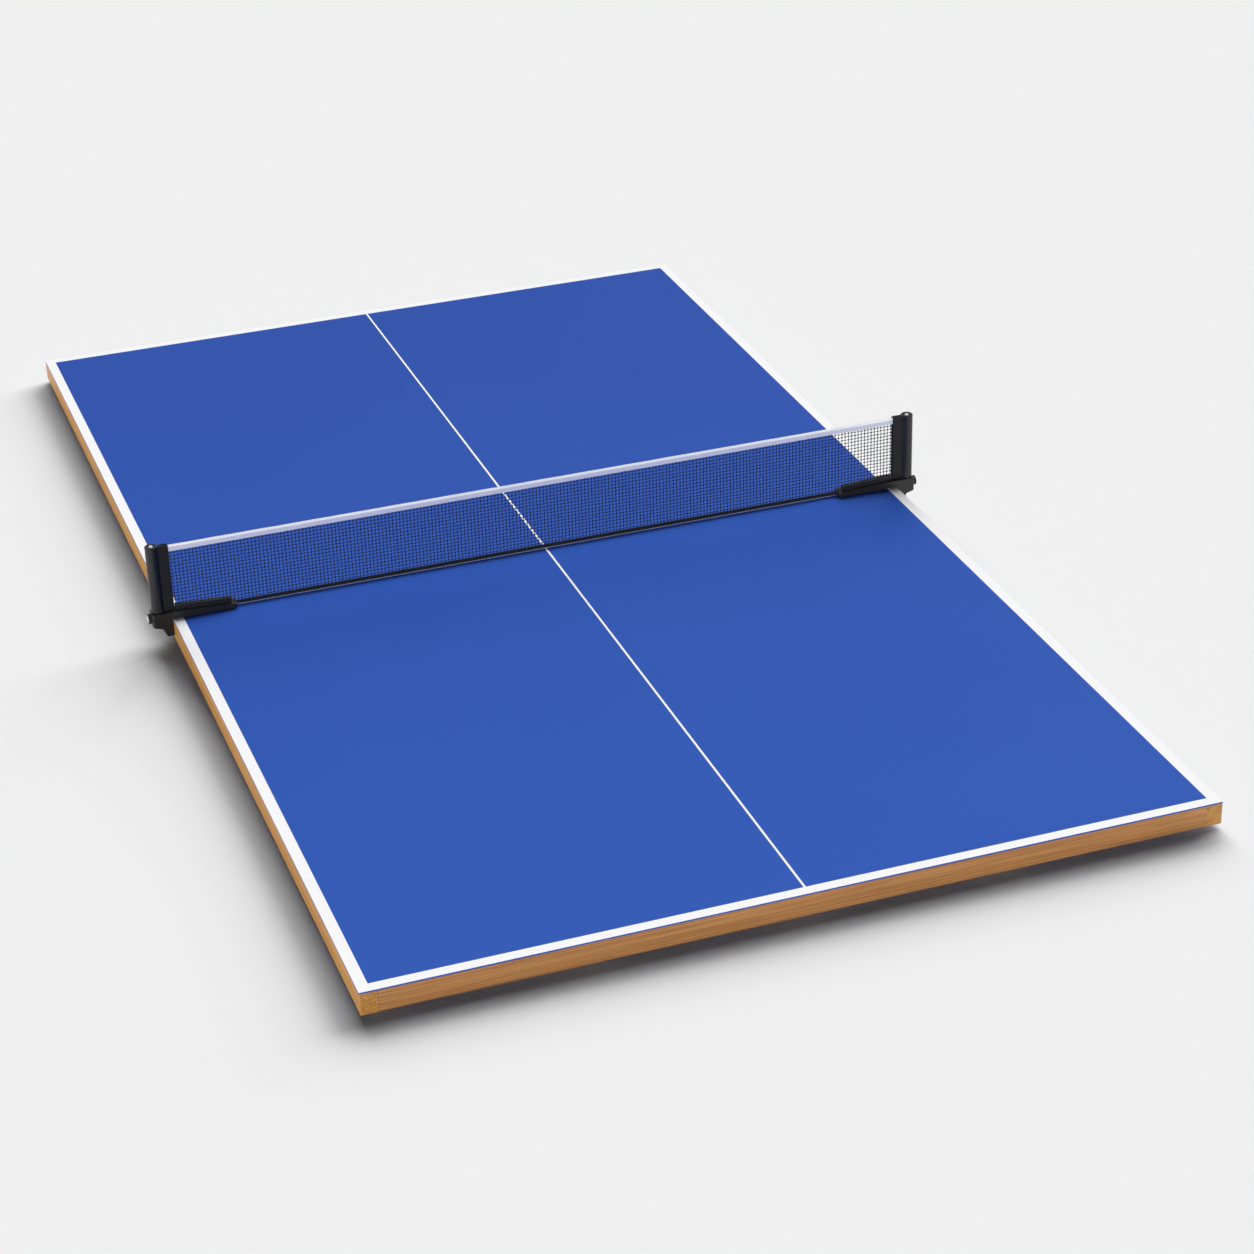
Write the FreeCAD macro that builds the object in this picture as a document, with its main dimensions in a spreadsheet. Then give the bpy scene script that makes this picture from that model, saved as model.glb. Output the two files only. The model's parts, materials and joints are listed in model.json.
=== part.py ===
"""Full-size ping pong table top in two halves, with a pair of net brackets, height-adjustable posts and a net.

The frame: X across the table, Y along it, Z up. The origin is on the floor under the middle of the table.
The far half is on the +Y side. Everything on the right (+X) side is drawn once and mirrored to the left.
Sizes are in millimetres and live in the spreadsheet "Dims".
"""
import FreeCAD, Part
import os
import re

import Sketcher

doc = FreeCAD.newDocument("PingPongTable")

# ---------------------------------------------------------------- driving dimensions
DIMENSIONS = {
    # table top
    "topwidth": (1525, "width of the playing surface"),
    "toplength": (2740, "length of both halves together"),
    "seamgap": (0.8, "gap between the two halves"),
    "footheight": (8, "rubber foot"),
    "footdia": (27, "rubber foot"),
    "footinset": (60, "foot centre to the end of its rail"),
    "railheight": (40, "outer frame rail"),
    "railwidth": (30, "outer frame rail"),
    "centreheight": (19, "rail along the seam, under the board"),
    "battenwidth": (40, "stiffener under the board"),
    "battenspace": (366, "stiffener spacing across the table"),
    "sheetthick": (3, "painted playing sheet"),
    "boardthick": (9, "core board inside the frame"),
    "borderwidth": (20, "white border line"),
    "centreline": (4, "white centre line"),
    "filmthick": (0.3, "line tape"),
    "edgeround": (1.5, "rounding along the rails"),
    # frame fasteners
    "doweldia": (8, "beech dowel"),
    "dowelhalf": (20, "dowel length in each rail"),
    "dowelspace": (9, "dowel centre to the rail's middle height"),
    "screwdia": (4, "foot screw shank"),
    "screwlength": (22, "foot screw shank above the head"),
    "headdia": (8, "foot screw head"),
    "headheight": (2.5, "foot screw head"),
    "headdepth": (2, "foot screw head above the floor"),
    "pindia": (8, "alignment pin across the seam"),
    "pinhold": (27, "alignment pin length in the near half"),
    "pinreach": (23, "alignment pin length in the far half"),
    "pinplace": (400, "alignment pin from the middle of the table"),
    "bushdia": (12, "brass bush round the pin"),
    "bushlength": (26, "brass bush round the pin"),
    # fits
    "runclear": (0.05, "radial running clearance"),
    "fitgap": (0.3, "gap between pieces that move past each other"),
    # bracket, measured outward from the table edge and up from the playing surface
    "armreach": (128, "arm tip, inward from the edge"),
    "armdepth": (30, "bracket along Y"),
    "armtip": (9, "arm top at its tip"),
    "blocktop": (15, "bracket block top"),
    "blockinner": (8, "block top's inner end, inward from the edge"),
    "blockout": (40, "block's outer face"),
    "blockunder": (12, "block's outer lower edge, below the surface"),
    "gussetout": (22, "gusset knee, outward"),
    "gussetknee": (17, "gusset knee, below the surface"),
    "gussetfoot": (14, "gusset foot, outward"),
    "gussetdrop": (34, "gusset foot, below the surface"),
    "ribheight": (10, "rib over the arm"),
    "ribthick": (10, "rib along Y"),
    "ribreach": (118, "rib tip, inward from the edge"),
    "padthick": (1.5, "rubber pad under the arm"),
    "padinset": (2, "rubber pad inside the arm's outline"),
    "netfloor": (3, "net's lower edge above the surface"),
    "channelwidth": (3.6, "slot for the net"),
    "channelout": (9, "slot's outer end, outward from the edge"),
    "borelength": (24, "socket for the post rod"),
    "blockround": (5, "rounding of the block's outer corners"),
    "tipround": (3, "rounding of the arm's tip"),
    # post
    "postout": (26, "post centre, outward from the edge"),
    "postdia": (25, "post sleeve"),
    "posttop": (156, "post sleeve's top above the surface"),
    "rodcore": (10, "post rod"),
    "roddome": (4, "rounding of the rod's top"),
    "rodproud": (1.5, "rod's top above the sleeve"),
    "rodspare": (1, "space under the rod in its socket"),
    "sleevefoot": (0.6, "chamfer round the sleeve's foot"),
    "sleeverim": (1.2, "chamfer round the sleeve's top"),
    "dishwide": (4, "dish in the sleeve's top, outward from the rod"),
    "dishdeep": (2, "dish in the sleeve's top"),
    "bartop": (154.5, "net bar's top above the surface"),
    "barinner": (6, "net bar's inner face, inward from the edge"),
    "barthick": (12, "net bar along Y"),
    "barround": (1.5, "rounding of the net bar"),
    # net
    "netheight": (152.5, "net's top above the surface"),
    "tapeheight": (13.5, "white top tape"),
    "tapethick": (3, "white top tape and lower hem"),
    "hemheight": (6, "lower hem"),
    "meshthick": (1.2, "mesh"),
    "corddia": (1.6, "tension cord in the top tape"),
    "cordcover": (1.6, "tape over the cord"),
    "siderod": (5.6, "rod in the net's side"),
    "sideslot": (6.4, "bore of the net bar round the side rod"),
    "sideplace": (4, "side rod centre, outward from the edge"),
    "sidetop": (150, "side rod's top above the surface"),
    # lock screw
    "lockheight": (3, "lock screw axis above the surface"),
    "lockdia": (5, "lock screw shank"),
    "locktip": (4.4, "brass pad at the screw's tip"),
    "locktiplong": (2.4, "brass pad at the screw's tip"),
    "lockdisc": (20, "lock screw knob"),
    "lockthick": (5.5, "lock screw knob"),
    "knurldia": (2, "knurl groove round the knob"),
    "lockgap": (1, "knob to the block's outer face"),
    "capdia": (15, "bright disc let into the knob"),
    "capthick": (1.2, "bright disc let into the knob"),
    # clamp under the seam
    "stemplace": (66, "clamp stem, inward from the edge"),
    "stemdia": (10, "clamp stem"),
    "notchdia": (11, "hole through the seam for the stem"),
    "platelong": (50, "clamp plate across the table"),
    "platewide": (56, "clamp plate across the seam"),
    "platethick": (3, "clamp plate"),
    "stardia": (36, "clamp knob"),
    "starheight": (11, "clamp knob"),
    "stargrip": (5, "radius of the knob's finger hollows"),
}
STAR_HOLLOWS = 6
KNURLS = 24

# ---------------------------------------------------------------- tolerances for picking edges
NEARBY = 1
TOUCHING = 0.01
PARALLEL = 0.999

dims = doc.addObject("Spreadsheet::Sheet", "Dims")
for row, (alias, (value, note)) in enumerate(DIMENSIONS.items(), start=1):
    dims.set(f"A{row}", alias)
    dims.set(f"B{row}", str(value))
    dims.setAlias(f"B{row}", alias)
    dims.set(f"C{row}", note)
doc.recompute()

# ---------------------------------------------------------------- derived places, as expressions of the sheet
EDGE = "topwidth / 2"
END = "toplength / 2"
SEAM = "seamgap / 2"
RAILTOP = "(footheight + railheight)"
SURFACE = f"({RAILTOP} + sheetthick)"
HALFLONG = f"({END} - {SEAM})"
INNER = f"({EDGE} - railwidth)"
BOARDLOW = f"({RAILTOP} - boardthick)"
CENTRELOW = f"({BOARDLOW} - centreheight)"
PINHEIGHT = f"({BOARDLOW} - centreheight / 2)"
POSTX = f"({EDGE} + postout)"
BLOCKX = f"({EDGE} + blockout)"
STEMX = f"({EDGE} - stemplace)"
BASE = f"({SURFACE} + blocktop + fitgap)"
SHANKX = f"({POSTX} + rodcore / 2 + runclear + locktiplong)"
PLATELOW = f"({CENTRELOW} - platethick)"
MESHX = f"({EDGE} + sideplace - siderod / 2)"


def link(text):
    """An expression in alias words, with each word turned into a reference to the sheet."""
    return re.sub(r"[a-z]+", lambda m: f"Dims.{m.group()}" if m.group() in DIMENSIONS else m.group(), text)


def bind(thing, **sizes):
    for prop, text in sizes.items():
        thing.setExpression(prop.replace("_", "."), link(str(text)))
    return thing


def value_of(text):
    """The present value of an expression, worked out by the sheet itself."""
    return float(dims.evalExpression(link(str(text))))


nodes = {}


def node(thing, name):
    """Makes an object of the document a sub-part."""
    thing.Label = name
    nodes[name] = thing
    return thing


# ---------------------------------------------------------------- primitives, booleans and mirrors
def box(name, low, size):
    """A box from its lowest corner and its size."""
    b = doc.addObject("Part::Box", name)
    bind(b, Length=size[0], Width=size[1], Height=size[2])
    return bind(b, Placement_Base_x=low[0], Placement_Base_y=low[1], Placement_Base_z=low[2])


TURN = {
    "Z": FreeCAD.Rotation(),
    "X": FreeCAD.Rotation(FreeCAD.Vector(0, 1, 0), 90),
    "Y": FreeCAD.Rotation(FreeCAD.Vector(1, 0, 0), -90),
}


def rod(name, base, axis, diameter, length):
    """A cylinder from the centre of its first face, along +X, +Y or +Z."""
    c = doc.addObject("Part::Cylinder", name)
    c.Placement = FreeCAD.Placement(FreeCAD.Vector(), TURN[axis])
    bind(c, Radius=f"({diameter}) / 2", Height=length)
    return bind(c, Placement_Base_x=base[0], Placement_Base_y=base[1], Placement_Base_z=base[2])


def join(name, shapes):
    f = doc.addObject("Part::MultiFuse", name)
    f.Shapes = shapes
    return f


def group(name, shapes):
    """Separate solids that share a node."""
    g = doc.addObject("Part::Compound", name)
    g.Links = shapes
    return g


def cut(name, base, tools):
    c = doc.addObject("Part::Cut", name)
    c.Base = base
    c.Tool = tools[0] if len(tools) == 1 else group(f"{name}_tools", tools)
    return c


def mirrored(source, name, normal):
    m = doc.addObject("Part::Mirroring", name)
    m.Source = source
    m.Normal = normal
    return m


ACROSS = FreeCAD.Vector(1, 0, 0)
ALONG = FreeCAD.Vector(0, 1, 0)


def rounded(name, base, radius, wanted):
    """Fillets the edges of base that wanted(edge) picks."""
    doc.recompute()
    f = doc.addObject("Part::Fillet", name)
    f.Base = base
    size = value_of(radius)
    f.Edges = [(i, size, size) for i, e in enumerate(base.Shape.Edges, start=1) if wanted(e)]
    return f


def runs_along(edge, axis):
    """True for a straight edge parallel to an axis."""
    d = edge.tangentAt(edge.FirstParameter) if edge.Curve.TypeId == "Part::GeomLine" else None
    return d is not None and abs(getattr(d, axis)) > PARALLEL


# ---------------------------------------------------------------- sketches
def sketch(body, role, name, offset="0"):
    """An empty sketch on one of the body's origin planes, moved along the plane's normal."""
    s = body.newObject("Sketcher::SketchObject", name)
    plane = next(f for f in body.Origin.OriginFeatures if f.Role == role)
    s.AttachmentSupport = (plane, [""])
    s.MapMode = "FlatFace"
    s.setExpression(".AttachmentOffset.Base.z", link(offset))
    return s


def pin_point(s, shape, end, place):
    """Holds one point of a sketch at a place worked out from the sheet."""
    for kind, text in zip(("DistanceX", "DistanceY"), place):
        c = s.addConstraint(Sketcher.Constraint(kind, -1, 1, shape, end, value_of(text)))
        s.setExpression(f"Constraints[{c}]", link(text))


def outline(s, corners):
    """A closed outline of straight lines through the corners."""
    points = [FreeCAD.Vector(value_of(x), value_of(y), 0) for x, y in corners]
    count = len(corners)
    for i in range(count):
        s.addGeometry(Part.LineSegment(points[i], points[(i + 1) % count]), False)
    for i in range(count):
        s.addConstraint(Sketcher.Constraint("Coincident", i, 2, (i + 1) % count, 1))
    for i, corner in enumerate(corners):
        pin_point(s, i, 1, corner)
    return s


def rectangle(s, low, high):
    return outline(s, [low, (high[0], low[1]), high, (low[0], high[1])])


def circle(s, centre, diameter):
    middle = FreeCAD.Vector(value_of(centre[0]), value_of(centre[1]), 0)
    i = s.addGeometry(Part.Circle(middle, FreeCAD.Vector(0, 0, 1), value_of(diameter) / 2), False)
    pin_point(s, i, 3, centre)
    c = s.addConstraint(Sketcher.Constraint("Diameter", i, value_of(diameter)))
    s.setExpression(f"Constraints[{c}]", link(diameter))
    return s


def feature(body, kind, name, profile, length, side="One side", reverse=False):
    """A Pad or Pocket of a sketch."""
    f = body.newObject(f"PartDesign::{kind}", name)
    f.Profile = profile
    f.SideType = side
    f.Reversed = reverse
    bind(f, Length=length)
    doc.recompute()
    return f


# ---------------------------------------------------------------- one half of the table top
def seam_hole(name, low, high):
    """The hole that the clamp stem passes through at the seam, from one height to another."""
    return rod(name, (STEMX, "0", low), "Z", "notchdia", f"{high} - {low}")


def with_notches(name, base, low, high):
    """Cuts the clamp stem's two half-holes out of the seam edge."""
    right = seam_hole(f"{name}_hole", low, high)
    return cut(name, base, [right, mirrored(right, f"{name}_hole_left", ACROSS)])


def both(name, solid):
    """A solid and its mirror image across the table, as a list."""
    return [solid, mirrored(solid, f"{name}_left", ACROSS)]


def foot_places():
    """The Y of the two feet under each side rail of the far half."""
    return {"seam": f"({SEAM} + footinset)", "end": f"({END} - footinset)"}


# Corner dowels lie across the table, half in the side rail and half in the cross rail.
DOWELS = {
    "end_low": (f"({END} - railwidth / 2)", f"({RAILTOP} - railheight / 2 - dowelspace)"),
    "end_high": (f"({END} - railwidth / 2)", f"({RAILTOP} - railheight / 2 + dowelspace)"),
    "seam": (f"({SEAM} + railwidth / 2)", PINHEIGHT),
}


def corner_dowels(prefix):
    """The dowels of the right side of the far half."""
    start = f"({INNER} - dowelhalf)"
    return [
        rod(f"{prefix}_{place}", (start, y, z), "X", "doweldia", "2 * dowelhalf")
        for place, (y, z) in DOWELS.items()
    ]


def foot_screws(prefix):
    """Countersunk screws that hold the right-hand feet of the far half."""
    made = []
    for place, y in foot_places().items():
        x = f"({EDGE} - railwidth / 2)"
        head = rod(f"{prefix}_{place}_head", (x, y, "headdepth"), "Z", "headdia", "headheight")
        shank_base = (x, y, "headdepth + headheight")
        shank = rod(f"{prefix}_{place}_shank", shank_base, "Z", "screwdia", "screwlength")
        made.append(join(f"{prefix}_{place}", [head, shank]))
    return made


def feet(prefix):
    """The right-hand rubber feet of the far half, each recessed for its screw."""
    made = []
    for place, y in foot_places().items():
        x = f"({EDGE} - railwidth / 2)"
        pad = rod(f"{prefix}_{place}_pad", (x, y, "0"), "Z", "footdia", "footheight")
        top = "headdepth + headheight"
        recess = rod(f"{prefix}_{place}_recess", (x, y, "0"), "Z", "headdia", top)
        hole = rod(f"{prefix}_{place}_hole", (x, y, top), "Z", "screwdia", f"footheight - {top}")
        made.append(cut(f"{prefix}_{place}_foot", pad, [join(f"{prefix}_{place}_bore", [recess, hole])]))
    return made


def side_rail():
    """The far half's right side rail, with its end grain showing at the table's end."""
    low = (INNER, SEAM, "footheight")
    bar = box("rail_bar", low, ("railwidth", HALFLONG, "railheight"))
    soft = rounded("rail_soft", bar, "edgeround", outer_low_edge)
    return cut("rail_drilled", soft, corner_dowels("rail_dowel") + foot_screws("rail_screw"))


def outer_low_edge(edge):
    """Picks the rail's outer bottom edge and its outer end corner."""
    x = edge.CenterOfMass.x
    outside = x > value_of(EDGE) - NEARBY
    return outside and (runs_along(edge, "y") and edge.CenterOfMass.z < value_of(RAILTOP) - NEARBY
                        or runs_along(edge, "z") and edge.CenterOfMass.y > value_of(END) - NEARBY)


def end_rail():
    low = (f"-{INNER}", f"({END} - railwidth)", "footheight")
    bar = box("end_bar", low, (f"2 * {INNER}", "railwidth", "railheight"))
    soft = rounded("end_soft", bar, "edgeround", end_low_edge)
    dowels = [d for one in corner_dowels("end_dowel") for d in both(one.Name, one)]
    return cut("end_drilled", soft, dowels)


def end_low_edge(edge):
    """Picks the end rail's outer bottom edge."""
    middle = edge.CenterOfMass
    return runs_along(edge, "x") and middle.y > value_of(END) - NEARBY and middle.z < value_of(RAILTOP) - NEARBY


def centre_rail():
    """The rail under the board's seam edge, with the stem notches and dowel holes but no pin holes."""
    low = (f"-{INNER}", SEAM, CENTRELOW)
    bar = box("centre_bar", low, (f"2 * {INNER}", "railwidth", "centreheight"))
    dowels = [d for one in corner_dowels("centre_dowel") for d in both(one.Name, one)]
    return cut("centre_drilled", with_notches("centre_notched", bar, CENTRELOW, BOARDLOW), dowels)


def core_board():
    depth = f"({HALFLONG} - railwidth)"
    board = box("board_blank", (f"-{INNER}", SEAM, BOARDLOW), (f"2 * {INNER}", depth, "boardthick"))
    return with_notches("board_notched", board, BOARDLOW, RAILTOP)


def playing_surface():
    sheet = box("sheet_blank", (f"-{EDGE}", SEAM, RAILTOP), ("topwidth", HALFLONG, "sheetthick"))
    return with_notches("sheet_notched", sheet, RAILTOP, SURFACE)


def border_lines():
    """White line tape along the two sides and the end of the far half."""
    side_low = (f"({EDGE} - borderwidth)", SEAM, SURFACE)
    right = box("border_right", side_low, ("borderwidth", f"({HALFLONG} - borderwidth)", "filmthick"))
    end_low = (f"-{EDGE}", f"({END} - borderwidth)", SURFACE)
    end = box("border_end", end_low, ("topwidth", "borderwidth", "filmthick"))
    return group("border_strips", both("border_right", right) + [end])


def centre_line():
    side_long = f"({HALFLONG} - borderwidth)"
    return box("centre_strip", ("-centreline / 2", SEAM, SURFACE), ("centreline", side_long, "filmthick"))


def battens():
    """Three stiffeners under the board, between the centre rail and the end rail."""
    start = f"({SEAM} + railwidth)"
    size = ("battenwidth", f"({END} - railwidth - {start})", "centreheight")
    lows = [f"({k} * battenspace - battenwidth / 2)" for k in (-1, 0, 1)]
    return group("batten_set", [box(f"batten_{i}", (x, start, CENTRELOW), size) for i, x in enumerate(lows)])


def both_sides(name, right_solids):
    """A node's worth of solids on the right and their mirror images on the left."""
    return group(name, [s for one in right_solids for s in both(one.Name, one)])


FAR_HALF = {
    "playing_surface": playing_surface(),
    "border_lines": border_lines(),
    "centre_line": centre_line(),
    "core_board": core_board(),
    "side_rail_right": side_rail(),
    "end_rail": end_rail(),
    "battens": battens(),
    "corner_dowels": both_sides("dowel_set", corner_dowels("dowel")),
    "feet": both_sides("foot_set", feet("foot")),
    "foot_screws": both_sides("screw_set", foot_screws("screw")),
}
FAR_HALF["side_rail_left"] = mirrored(FAR_HALF["side_rail_right"], "rail_left", ACROSS)
for name, solid in FAR_HALF.items():
    node(solid, f"{name}_far")
    node(mirrored(solid, f"{name}_mirror", ALONG), f"{name}_near")

# ---------------------------------------------------------------- seam: centre rails, alignment pins and bushes
blank_rail = centre_rail()
bush_hole = rod("bush_hole", ("pinplace", SEAM, PINHEIGHT), "Y", "bushdia", "bushlength")
node(cut("centre_rail_a", blank_rail, both("bush_hole", bush_hole)), "centre_rail_far")

pin = rod("pin", ("pinplace", "-pinhold", PINHEIGHT), "Y", "pindia", "pinhold + pinreach")
near_blank = mirrored(blank_rail, "centre_mirror", ALONG)
node(cut("centre_rail_b", near_blank, both("pin_hole", pin)), "centre_rail_near")
node(group("pin_set", both("pin_pair", pin)), "alignment_pins")

bush_solid = rod("bush_solid", ("pinplace", SEAM, PINHEIGHT), "Y", "bushdia", "bushlength")
bush_bore = rod("bush_bore", ("pinplace", SEAM, PINHEIGHT), "Y", "pindia + 2 * runclear", "bushlength")
bush = cut("bush", bush_solid, [bush_bore])
node(group("bush_set", both("bush_pair", bush)), "pin_bushes")


# ---------------------------------------------------------------- right-hand net set
def bracket():
    """One casting: arm over the table, block and gusset outside it, rib round the net, and clamp stem."""
    body = doc.addObject("PartDesign::Body", "Bracket")
    under = f"({SURFACE} + padthick)"
    inside = f"({under} + padthick / 2)"
    tip = f"({EDGE} - armreach)"
    face = f"({EDGE} + fitgap)"
    block_in = f"({EDGE} - blockinner)"
    side_view = outline(sketch(body, "XZ_Plane", "BracketSide"), [
        (BLOCKX, f"({SURFACE} + blocktop)"),
        (block_in, f"({SURFACE} + blocktop)"),
        (tip, f"({SURFACE} + armtip)"),
        (tip, under),
        (face, under),
        (face, f"({SURFACE} - gussetdrop)"),
        (f"({EDGE} + gussetfoot)", f"({SURFACE} - gussetdrop)"),
        (f"({EDGE} + gussetout)", f"({SURFACE} - gussetknee)"),
        (BLOCKX, f"({SURFACE} - blockunder)"),
    ])
    feature(body, "Pad", "BracketPad", side_view, "armdepth", side="Symmetric")

    rib_tip = f"({EDGE} - ribreach)"
    fall = "(blocktop - armtip) / (armreach - blockinner) * (ribreach - blockinner)"
    rib_view = outline(sketch(body, "XZ_Plane", "RibSide"), [
        (block_in, f"({SURFACE} + blocktop + ribheight - fitgap)"),
        (rib_tip, f"({SURFACE} + blocktop + ribheight - fitgap - {fall})"),
        (rib_tip, inside),
        (block_in, inside),
    ])
    feature(body, "Pad", "RibPad", rib_view, "ribthick", side="Symmetric")

    stem_view = circle(sketch(body, "XY_Plane", "StemEnd", inside), (STEMX, "0"), "stemdia")
    stem_long = f"{inside} - ({PLATELOW} - starheight)"
    feature(body, "Pad", "StemPad", stem_view, stem_long, reverse=True)

    slot_low = ("-channelwidth / 2", f"({SURFACE} + netfloor)")
    slot_high = ("channelwidth / 2", f"({SURFACE} + blocktop + 2 * ribheight)")
    slot_view = rectangle(sketch(body, "YZ_Plane", "NetSlot", f"{EDGE} + channelout"), slot_low, slot_high)
    feature(body, "Pocket", "NetSlotCut", slot_view, "channelout + armreach + channelwidth")

    socket_view = circle(sketch(body, "XY_Plane", "Socket", f"{SURFACE} + blocktop"), (POSTX, "0"),
                         "rodcore + 2 * runclear")
    feature(body, "Pocket", "SocketCut", socket_view, "borelength")

    lock_view = circle(sketch(body, "YZ_Plane", "LockHole", BLOCKX), ("0", f"({SURFACE} + lockheight)"),
                       "lockdia + 2 * runclear")
    last = feature(body, "Pocket", "LockHoleCut", lock_view, "blockout - postout")

    for label, radius, place in (("BlockRound", "blockround", BLOCKX), ("TipRound", "tipround", tip)):
        x = value_of(place)
        picked = [
            f"Edge{i}" for i, e in enumerate(last.Shape.Edges, start=1)
            if runs_along(e, "z") and abs(e.CenterOfMass.x - x) < TOUCHING
            and abs(abs(e.CenterOfMass.y) - value_of("armdepth / 2")) < TOUCHING
        ]
        fillet = body.newObject("PartDesign::Fillet", label)
        fillet.Base = (last, picked)
        bind(fillet, Radius=radius)
        doc.recompute()
        last = fillet
    return body


def arm_pad():
    """Rubber pad between the arm and the playing surface, clear of the border line."""
    low = (f"({EDGE} - armreach + padinset)", "-armdepth / 2 + padinset", SURFACE)
    size = ("armreach - borderwidth - 2 * padinset", "armdepth - 2 * padinset", "padthick")
    pad = box("pad_blank", low, size)
    hole = rod("pad_hole", (STEMX, "0", SURFACE), "Z", "notchdia", "padthick")
    return cut("pad", pad, [hole])


def clamp_plate():
    """Steel plate drawn up against both centre rails."""
    low = (f"({STEMX} - platelong / 2)", "-platewide / 2", PLATELOW)
    blank = box("plate_blank", low, ("platelong", "platewide", "platethick"))
    soft = rounded("plate_soft", blank, "blockround", lambda e: runs_along(e, "z"))
    hole = rod("plate_hole", (STEMX, "0", PLATELOW), "Z", "stemdia + 2 * fitgap", "platethick")
    return cut("plate", soft, [hole])


def hollowed(body, last, name, count, radius, hollow_dia, height):
    """Cuts a ring of finger hollows or knurls round a knob that stands on its body's XY plane."""
    view = circle(sketch(body, "XY_Plane", f"{name}View", height), (radius, "0"), hollow_dia)
    first = feature(body, "Pocket", f"{name}Cut", view, height)
    ring = body.newObject("PartDesign::PolarPattern", f"{name}Ring")
    ring.Originals = [first]
    ring.Axis = (next(f for f in body.Origin.OriginFeatures if f.Role == "Z_Axis"), [""])
    ring.Angle = 360
    ring.Occurrences = count
    body.Tip = ring
    doc.recompute()
    if ring.Shape.Volume >= last.Shape.Volume:
        raise RuntimeError(f"{name} cut nothing")
    return ring


def star_knob():
    """Clamp nut with a six-lobed grip, on the clamp stem."""
    body = doc.addObject("PartDesign::Body", "StarKnob")
    disc_view = circle(sketch(body, "XY_Plane", "StarView"), ("0", "0"), "stardia")
    disc = feature(body, "Pad", "StarDisc", disc_view, "starheight")
    hollowed(body, disc, "StarHollow", STAR_HOLLOWS, "stardia / 2 + stargrip / 2", "2 * stargrip", "starheight")
    bore = circle(sketch(body, "XY_Plane", "StarBore", "starheight"), ("0", "0"), "stemdia + 2 * runclear")
    feature(body, "Pocket", "StarBoreCut", bore, "starheight")
    return bind(body, Placement_Base_x=STEMX, Placement_Base_z=f"{PLATELOW} - starheight")


def lock_screw():
    """Knurled thumbscrew through the block's outer wall."""
    body = doc.addObject("PartDesign::Body", "LockScrew")
    disc_view = circle(sketch(body, "XY_Plane", "LockView"), ("0", "0"), "lockdisc")
    disc = feature(body, "Pad", "LockDisc", disc_view, "lockthick")
    hollowed(body, disc, "Knurl", KNURLS, "lockdisc / 2 + knurldia / 4", "knurldia", "lockthick")
    recess = circle(sketch(body, "XY_Plane", "CapView", "lockthick"), ("0", "0"), "capdia")
    feature(body, "Pocket", "CapRecess", recess, "capthick")
    shank = circle(sketch(body, "XY_Plane", "ShankView"), ("0", "0"), "lockdia")
    feature(body, "Pad", "Shank", shank, f"{BLOCKX} + lockgap - {SHANKX}", reverse=True)
    body.Placement = FreeCAD.Placement(FreeCAD.Vector(), TURN["X"])
    return bind(body, Placement_Base_x=f"{BLOCKX} + lockgap", Placement_Base_z=f"{SURFACE} + lockheight")


def lock_cap():
    """Bright disc in the knob's outer face."""
    base = (f"({BLOCKX} + lockgap + lockthick - capthick)", "0", f"({SURFACE} + lockheight)")
    return rod("lock_disc", base, "X", "capdia", "capthick")


def lock_tip():
    """Brass pad that the screw presses against the post rod."""
    start = (f"({SHANKX} - locktiplong)", "0", f"({SURFACE} + lockheight)")
    return rod("lock_brass", start, "X", "locktip", "locktiplong")


def post_sleeve():
    """Turned sleeve over the post rod, with a shallow dish at its top."""
    tall = f"({SURFACE} + posttop - {BASE})"
    body = doc.addObject("PartDesign::Body", "Sleeve")
    view = outline(sketch(body, "XZ_Plane", "SleeveSide"), [
        ("rodcore / 2", "0"),
        ("postdia / 2 - sleevefoot", "0"),
        ("postdia / 2", "sleevefoot"),
        ("postdia / 2", f"{tall} - sleeverim"),
        ("postdia / 2 - sleeverim", tall),
        ("rodcore / 2 + dishwide", tall),
        ("rodcore / 2 + dishwide - dishdeep", f"{tall} - dishdeep"),
        ("rodcore / 2", f"{tall} - dishdeep"),
    ])
    turned = body.newObject("PartDesign::Revolution", "SleeveTurn")
    turned.Profile = view
    turned.ReferenceAxis = (view, ["V_Axis"])
    turned.Angle = 360
    doc.recompute()
    return bind(body, Placement_Base_x=POSTX, Placement_Base_z=BASE)


def post_rod():
    """Bright rod with a domed end, from the bracket's socket to the top of the sleeve."""
    low = f"({SURFACE} + blocktop - borelength + rodspare)"
    bar = rod("core", (POSTX, "0", low), "Z", "rodcore", f"{SURFACE} + posttop + rodproud - {low}")
    top = value_of(f"{SURFACE} + posttop")
    return rounded("core_domed", bar, "roddome", lambda e: e.CenterOfMass.z > top and e.Closed)


def net_bar():
    """Slotted bar on the sleeve's inner side, which holds the net's side rod."""
    tall = f"({SURFACE} + bartop - {BASE})"
    low = (f"({EDGE} - barinner)", "-barthick / 2", BASE)
    blank = box("bar_blank", low, ("barinner + postout", "barthick", tall))
    soft = rounded("bar_soft", blank, "barround", bar_edges)
    around_post = rod("bar_post", (POSTX, "0", BASE), "Z", "postdia", tall)
    keyhole = rod("bar_bore", (f"({EDGE} + sideplace)", "0", BASE), "Z", "sideslot", tall)
    mouth_low = (f"({EDGE} - barinner)", "-channelwidth / 2", BASE)
    mouth = box("bar_mouth", mouth_low, ("barinner + sideplace", "channelwidth", tall))
    return cut("bar", soft, [join("bar_space", [around_post, keyhole, mouth])])


def bar_edges(edge):
    """Picks the inner upright edges and the top edges of the net bar."""
    middle = edge.CenterOfMass
    inner = middle.x < value_of(EDGE)
    top = middle.z > value_of(f"{SURFACE} + bartop") - NEARBY
    return inner and runs_along(edge, "z") or top and (runs_along(edge, "x") or inner)


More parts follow.
